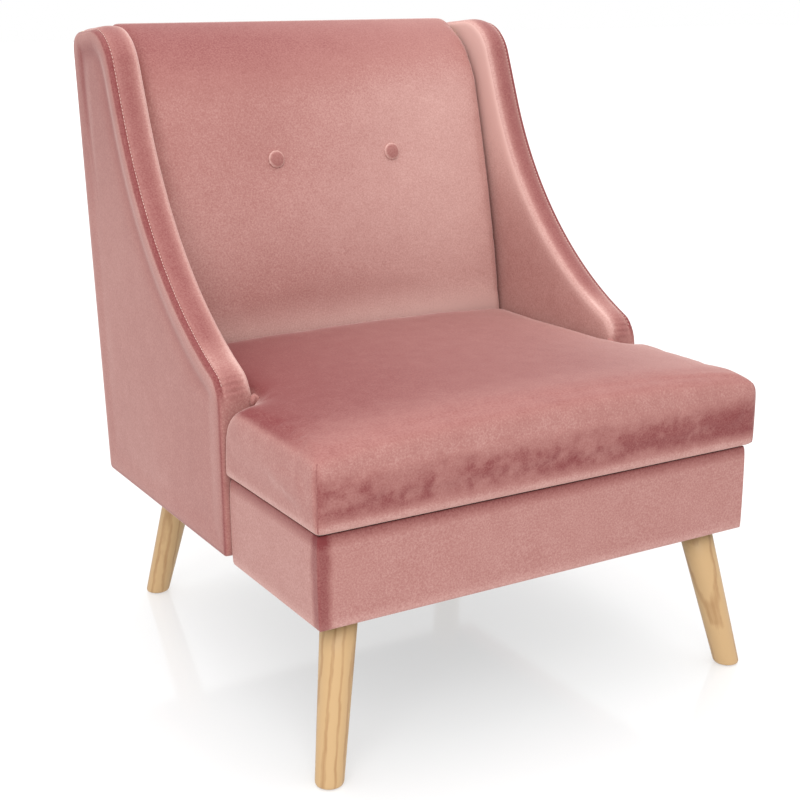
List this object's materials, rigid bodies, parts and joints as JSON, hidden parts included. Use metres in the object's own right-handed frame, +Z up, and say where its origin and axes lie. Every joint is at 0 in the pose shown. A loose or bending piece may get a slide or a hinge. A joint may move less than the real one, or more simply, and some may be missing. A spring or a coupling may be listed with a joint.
{
  "type": "upholstered armchair",
  "caption": "Low velvet lounge armchair with swept wing arms, buttoned back, lift-off box cushion, box base and splayed tapered wood legs.",
  "frame": {"origin": "on the floor, under the centre of the bounding box", "axes": "+X to the right when facing the chair, +Y towards its back, +Z up; the seat opens towards -Y"},
  "size_m": [0.66, 0.741, 0.862],
  "materials": {
    "velvet": "matte",
    "leg_wood": "satin",
    "frame_wood": "matte",
    "steel": "satin",
    "webbing": "matte",
    "deck_felt": "matte",
    "dust_cloth": "matte",
    "glide": "matte"
  },
  "bodies": {
    "chair_frame": {"arm_band_pad_left": "velvet", "arm_band_pad_right": "velvet", "arm_battens_left": "frame_wood", "arm_battens_right": "frame_wood", "arm_bolts": "steel", "arm_inner_pad_left": "velvet", "arm_inner_pad_right": "velvet", "arm_inner_ply_left": "frame_wood", "arm_inner_ply_right": "frame_wood", "arm_outer_pad_left": "velvet", "arm_outer_pad_right": "velvet", "arm_outer_ply_left": "frame_wood", "arm_outer_ply_right": "frame_wood", "arm_tee_nuts": "steel", "arm_washers": "steel", "back_bolts": "steel", "back_button_left": "velvet", "back_button_right": "velvet", "back_cushion": "velvet", "back_foot_rail": "frame_wood", "back_lumbar_rail": "frame_wood", "back_middle_rail": "frame_wood", "back_outer_panel": "velvet", "back_stile_left": "frame_wood", "back_stile_right": "frame_wood", "back_tee_nuts": "steel", "back_top_rail": "frame_wood", "back_washers": "steel", "back_webbing": "webbing", "base_cross_rail": "frame_wood", "base_front_rail": "frame_wood", "base_pad_front": "velvet", "base_pad_left": "velvet", "base_pad_right": "velvet", "base_rear_rail": "frame_wood", "base_side_rail_front_left": "frame_wood", "base_side_rail_front_right": "frame_wood", "base_side_rail_rear_left": "frame_wood", "base_side_rail_rear_right": "frame_wood", "button_twines": "webbing", "deck_pad": "deck_felt", "dust_cover": "dust_cloth", "foot_glides": "glide", "leg_block_front_left": "frame_wood", "leg_block_front_right": "frame_wood", "leg_block_rear_left": "frame_wood", "leg_block_rear_right": "frame_wood", "leg_front_left": "leg_wood", "leg_front_right": "leg_wood", "leg_hanger_bolts": "steel", "leg_inserts": "steel", "leg_rear_left": "leg_wood", "leg_rear_right": "leg_wood", "seat_springs": "steel", "spring_clips": "steel"},
    "loose_cushion": {"seat_board": "frame_wood", "seat_cushion": "velvet"}
  },
  "joints": [
    {"name": "seat_cushion_lift", "type": "slide", "parent": "chair_frame", "child": "loose_cushion", "axis": [0, 0, 1], "range_m": [0, 0.3]}
  ]
}
